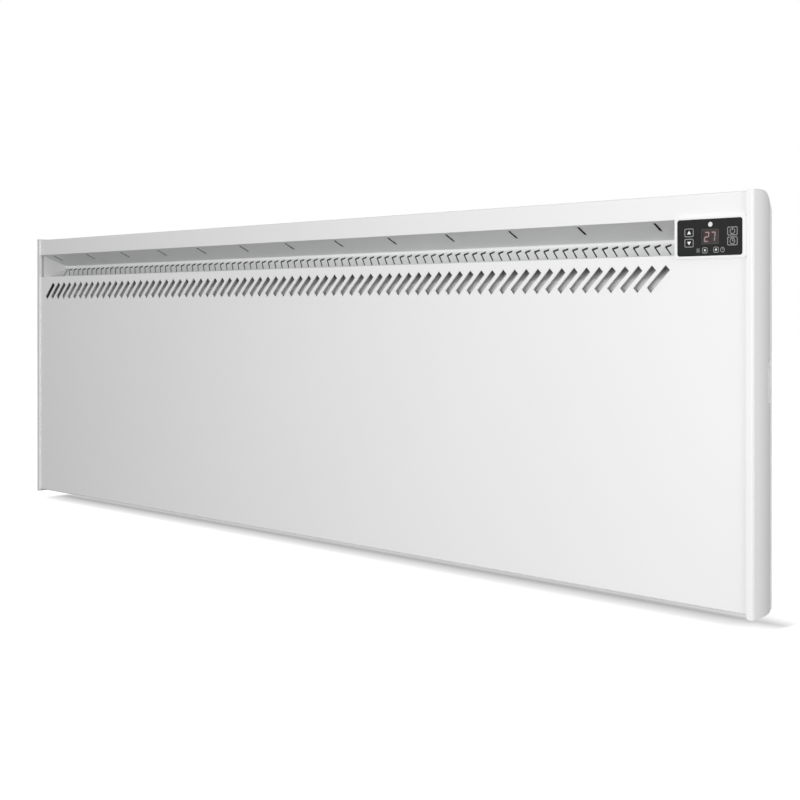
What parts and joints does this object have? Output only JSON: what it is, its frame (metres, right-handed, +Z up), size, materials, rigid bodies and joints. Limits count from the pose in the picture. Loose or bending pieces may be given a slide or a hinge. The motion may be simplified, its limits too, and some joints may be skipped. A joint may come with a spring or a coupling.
{
  "type": "wall panel convector heater",
  "caption": "Wide shallow wall-hung electric convector: white folded case, V-shaped outlet trough, diagonal slots, control module with lit display, on two wall brackets",
  "frame": {"origin": "centre of the four wall bolt holes, on the wall's surface, at the case's mid-height", "axes": "+X right as seen from the front, +Y into the wall, so the front faces -Y, +Z up"},
  "size_m": [1.1986, 0.0842, 0.3721],
  "materials": {
    "white_enamel": "satin white powder coat",
    "galvanised": "dull zinc-coated sheet",
    "white_plastic": "satin moulded white",
    "black_gloss": "gloss black, wiped glass look",
    "smoked_lens": "smoked clear window",
    "display_grey": "grey display body with lit segments",
    "milky_lens": "milky clear lens",
    "black_plastic": "matte black moulding",
    "circuit_board": "green board",
    "aluminium": "extruded, matt",
    "sheath_steel": "heater sheath, slightly darkened",
    "terminal_brass": "plain brass",
    "silicone": "pale heat-proof bush",
    "nylon": "natural nylon",
    "lead_insulation": "glass-braid sleeved lead",
    "wire_insulation": "flexible insulated wire",
    "ribbon_grey": "flat grey cable",
    "buffer_grey": "soft grey buffer",
    "zinc": "zinc-plated screw"
  },
  "bodies": {
    "heater": {"front_panel": "white_enamel", "outlet_trough": "white_enamel", "outlet_end_cheek": "white_enamel", "top_hood": "white_enamel", "rear_panel": "galvanised", "base_grille": "galvanised", "left_end_cap": "white_plastic", "right_end_cap": "white_plastic", "power_switch_housing": "white_plastic", "module_housing": "white_plastic", "control_overlay": "black_gloss", "display_lens": "smoked_lens", "display_module": "display_grey", "sensor_lens": "milky_lens", "indicator_lights": "milky_lens", "key_switches": "black_plastic", "control_board": "circuit_board", "control_back_cover": "white_plastic", "heating_element": "aluminium", "element_tubes": "sheath_steel", "element_terminals": "terminal_brass", "element_bushes": "silicone", "element_bracket_left": "galvanised", "element_bracket_right": "galvanised", "heat_shield": "galvanised", "power_board": "circuit_board", "board_pillars": "nylon", "relay": "black_plastic", "heat_sink": "aluminium", "board_connectors": "nylon", "element_leads": "lead_insulation", "supply_wires": "wire_insulation", "control_ribbon": "ribbon_grey", "terminal_block": "nylon", "thermal_cutout": "sheath_steel", "air_sensor_clip": "nylon", "air_sensor": "black_plastic", "cable_gland": "nylon", "gland_ring": "nylon", "wall_bracket_left": "galvanised", "wall_bracket_right": "galvanised", "wall_buffers": "buffer_grey", "case_screws": "zinc", "inner_screws": "zinc"},
    "power_rocker": {"power_rocker": "white_plastic"},
    "key_up": {"key_up": "black_gloss"},
    "key_down": {"key_down": "black_gloss"},
    "key_mode": {"key_mode": "black_gloss"},
    "key_timer": {"key_timer": "black_gloss"}
  },
  "joints": [
    {"name": "power_rocker_tilt", "type": "hinge", "parent": "heater", "child": "power_rocker", "pos_m": [0.5866, -0.0466, 0.0183], "axis": [0, 1, 0], "range_deg": [0, 14]},
    {"name": "key_up_press", "type": "slide", "parent": "heater", "child": "key_up", "axis": [0, 1, 0], "range_m": [0, 0.0005], "stiffness_N_per_m": 400},
    {"name": "key_down_press", "type": "slide", "parent": "heater", "child": "key_down", "axis": [0, 1, 0], "range_m": [0, 0.0005], "stiffness_N_per_m": 400},
    {"name": "key_mode_press", "type": "slide", "parent": "heater", "child": "key_mode", "axis": [0, 1, 0], "range_m": [0, 0.0005], "stiffness_N_per_m": 400},
    {"name": "key_timer_press", "type": "slide", "parent": "heater", "child": "key_timer", "axis": [0, 1, 0], "range_m": [0, 0.0005], "stiffness_N_per_m": 400}
  ]
}
